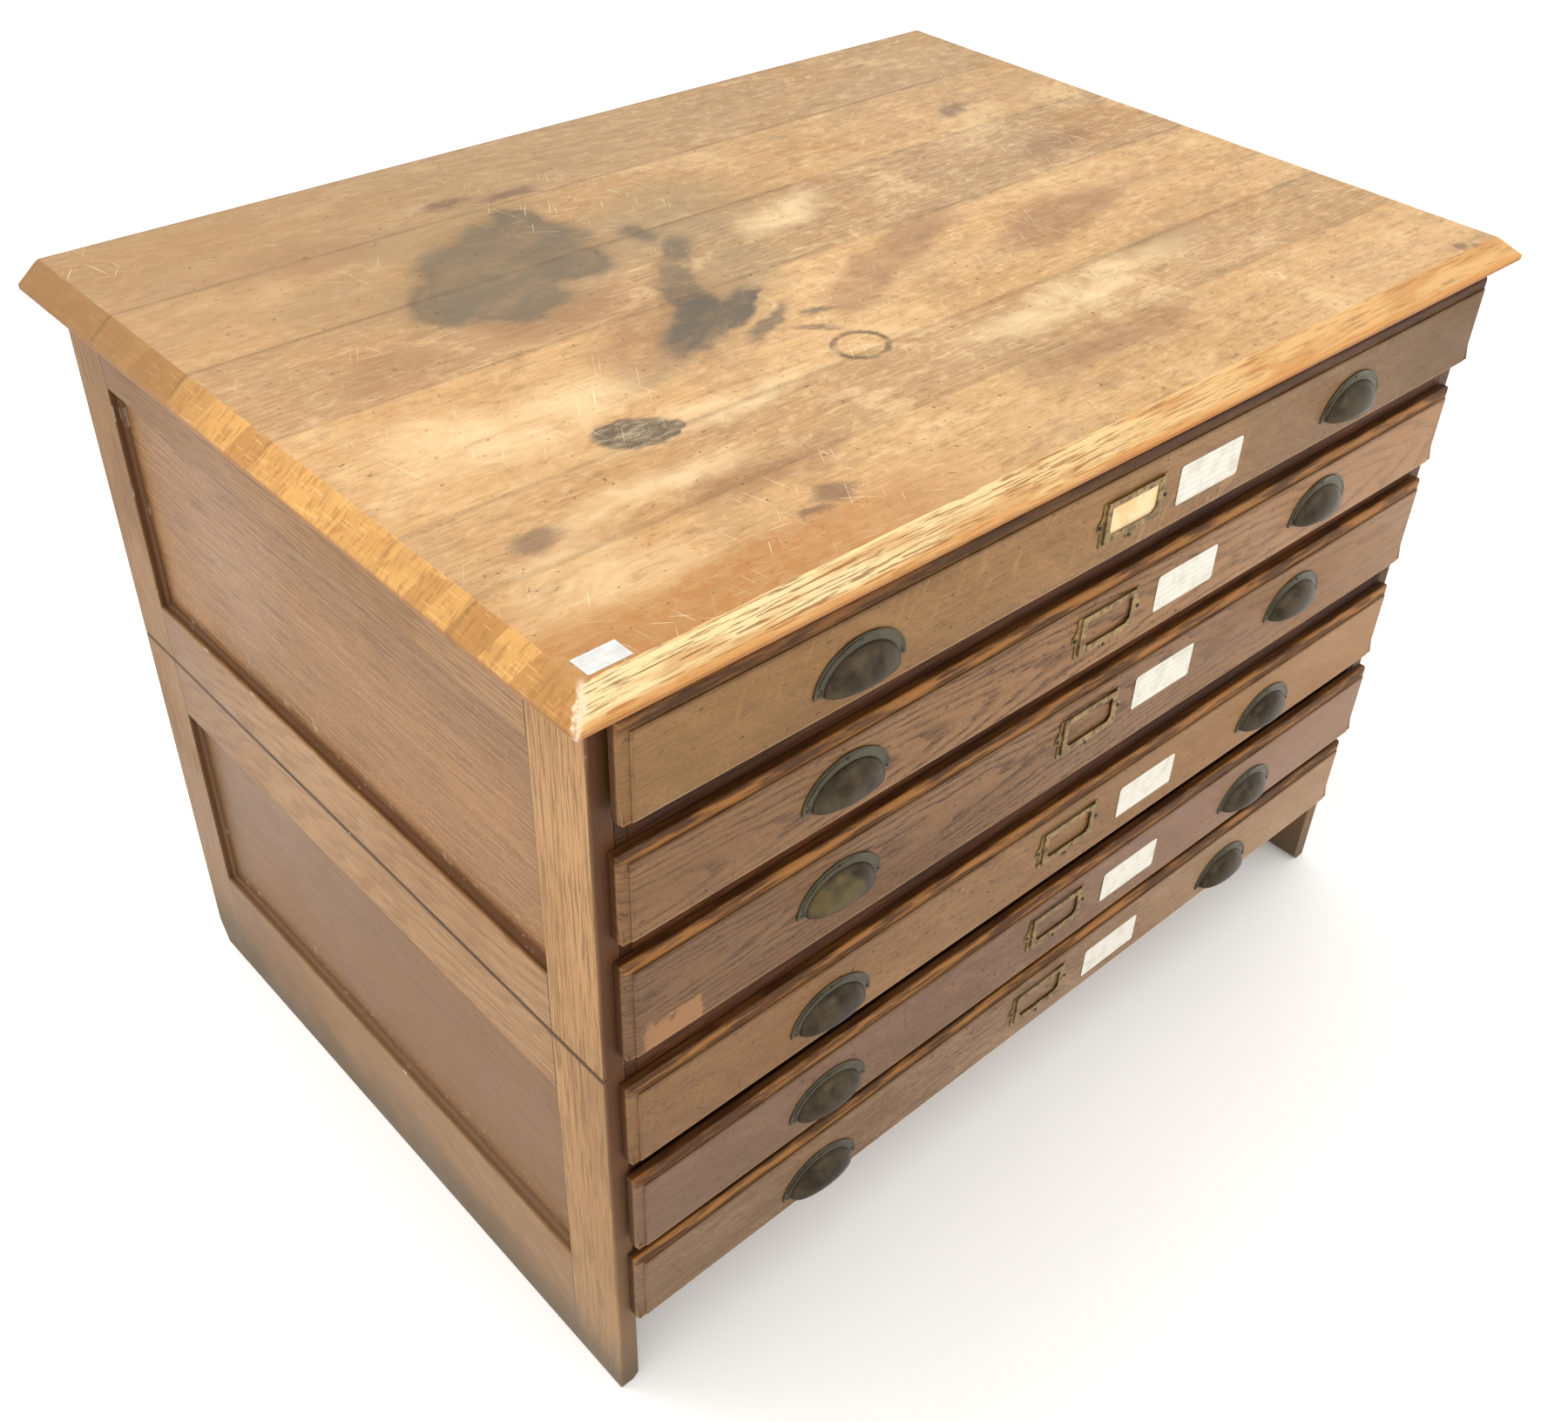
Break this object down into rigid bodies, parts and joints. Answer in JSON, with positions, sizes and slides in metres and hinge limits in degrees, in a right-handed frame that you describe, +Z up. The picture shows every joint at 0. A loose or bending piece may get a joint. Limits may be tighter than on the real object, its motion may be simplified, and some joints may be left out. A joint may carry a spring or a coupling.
{
  "type": "flat file cabinet",
  "caption": "Low oak plan chest in two stacked units with wide shallow sliding drawers, cup pulls, card frames, framed sides and a separate bevelled top.",
  "frame": {"origin": "centre of the bounding box in plan, on the floor", "axes": "+X along the width to the right seen from the front, -Y out of the drawer fronts, +Z up"},
  "size_m": [1.233, 0.8824, 0.892],
  "materials": {
    "oak_top": "satin",
    "oak_frame": "satin",
    "oak_panel": "satin",
    "oak_front": "satin",
    "oak_rail": "satin",
    "inner_wood": "matte",
    "bronze": "satin",
    "brass": "satin",
    "paper": "matte"
  },
  "bodies": {
    "cabinet": {"top_board": "oak_top", "upper_left_frame": "oak_frame", "upper_left_panel": "oak_panel", "upper_left_runners": "oak_rail", "upper_right_frame": "oak_frame", "upper_right_panel": "oak_panel", "upper_right_runners": "oak_rail", "upper_rail_top": "oak_rail", "upper_rail_a": "oak_rail", "upper_rail_b": "oak_rail", "upper_rail_bottom": "oak_rail", "upper_back": "oak_panel", "lower_left_frame": "oak_frame", "lower_left_panel": "oak_panel", "lower_left_runners": "oak_rail", "lower_right_frame": "oak_frame", "lower_right_panel": "oak_panel", "lower_right_runners": "oak_rail", "lower_rail_top": "oak_rail", "lower_rail_a": "oak_rail", "lower_rail_b": "oak_rail", "lower_rail_bottom": "oak_rail", "lower_back": "oak_panel"},
    "drawer_1": {"drawer_1_front": "oak_front", "drawer_1_box": "inner_wood", "drawer_1_bottom": "inner_wood", "drawer_1_pull_left": "bronze", "drawer_1_pull_right": "bronze", "drawer_1_card_frame": "brass"},
    "drawer_2": {"drawer_2_front": "oak_front", "drawer_2_box": "inner_wood", "drawer_2_bottom": "inner_wood", "drawer_2_pull_left": "bronze", "drawer_2_pull_right": "bronze", "drawer_2_card_frame": "brass"},
    "drawer_3": {"drawer_3_front": "oak_front", "drawer_3_box": "inner_wood", "drawer_3_bottom": "inner_wood", "drawer_3_pull_left": "bronze", "drawer_3_pull_right": "bronze", "drawer_3_card_frame": "brass"},
    "drawer_4": {"drawer_4_front": "oak_front", "drawer_4_box": "inner_wood", "drawer_4_bottom": "inner_wood", "drawer_4_pull_left": "bronze", "drawer_4_pull_right": "bronze", "drawer_4_card_frame": "brass"},
    "drawer_5": {"drawer_5_front": "oak_front", "drawer_5_box": "inner_wood", "drawer_5_bottom": "inner_wood", "drawer_5_pull_left": "bronze", "drawer_5_pull_right": "bronze", "drawer_5_card_frame": "brass"},
    "drawer_6": {"drawer_6_front": "oak_front", "drawer_6_box": "inner_wood", "drawer_6_bottom": "inner_wood", "drawer_6_pull_left": "bronze", "drawer_6_pull_right": "bronze", "drawer_6_card_frame": "brass"}
  },
  "joints": [
    {"name": "drawer_1_slide", "type": "slide", "parent": "cabinet", "child": "drawer_1", "axis": [0, -1, 0], "range_m": [-0.006, 0.594]},
    {"name": "drawer_2_slide", "type": "slide", "parent": "cabinet", "child": "drawer_2", "axis": [0, -1, 0], "range_m": [0, 0.6]},
    {"name": "drawer_3_slide", "type": "slide", "parent": "cabinet", "child": "drawer_3", "axis": [0, -1, 0], "range_m": [0, 0.6]},
    {"name": "drawer_4_slide", "type": "slide", "parent": "cabinet", "child": "drawer_4", "axis": [0, -1, 0], "range_m": [0, 0.6]},
    {"name": "drawer_5_slide", "type": "slide", "parent": "cabinet", "child": "drawer_5", "axis": [0, -1, 0], "range_m": [-0.004, 0.596]},
    {"name": "drawer_6_slide", "type": "slide", "parent": "cabinet", "child": "drawer_6", "axis": [0, -1, 0], "range_m": [0, 0.6]}
  ]
}
